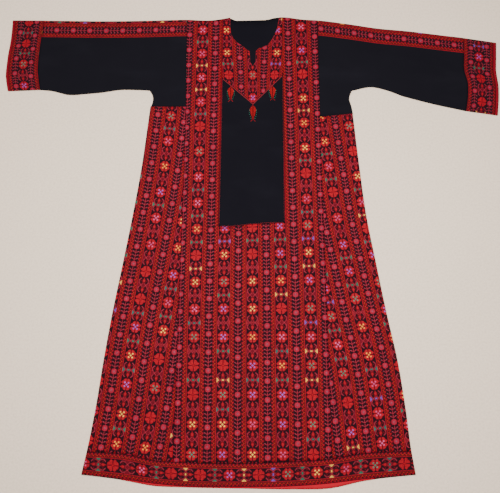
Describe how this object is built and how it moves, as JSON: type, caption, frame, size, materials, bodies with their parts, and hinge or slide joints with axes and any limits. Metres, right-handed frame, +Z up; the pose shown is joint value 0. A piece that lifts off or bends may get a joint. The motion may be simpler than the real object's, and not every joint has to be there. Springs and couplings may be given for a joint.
{
  "type": "embroidered kaftan",
  "caption": "Long kaftan laid flat with its front up: black cloth, dense red cross-stitch bands, V-shaped yoke, plain chest insert, flared side gores and banded hem.",
  "frame": {"origin": "bottom centre of the whole garment's box, on the surface it lies on", "axes": "+X across the garment to the right as it is seen, +Y from hem to neck, +Z up from the surface through back and front"},
  "size_m": [1.4924, 1.3774, 0.006],
  "materials": {
    "black_cotton": "matte plain weave",
    "red_embroidery": "dense cross-stitch in glossy thread on black cotton",
    "red_cotton": "matte plain weave",
    "red_thread": "twisted cord with a low gloss"
  },
  "bodies": {
    "root": {"back_panel": "black_cotton", "front_panel": "red_embroidery", "chest_insert": "black_cotton", "yoke": "red_embroidery", "yoke_piping": "red_thread", "side_gore_left": "red_embroidery", "side_gore_right": "red_embroidery", "sleeve_left": "black_cotton", "sleeve_right": "black_cotton", "cuff_left": "red_embroidery", "cuff_right": "red_embroidery", "cuff_binding_left": "red_cotton", "cuff_binding_right": "red_cotton", "hem_band": "red_embroidery", "hem_facing": "red_cotton"}
  },
  "joints": []
}
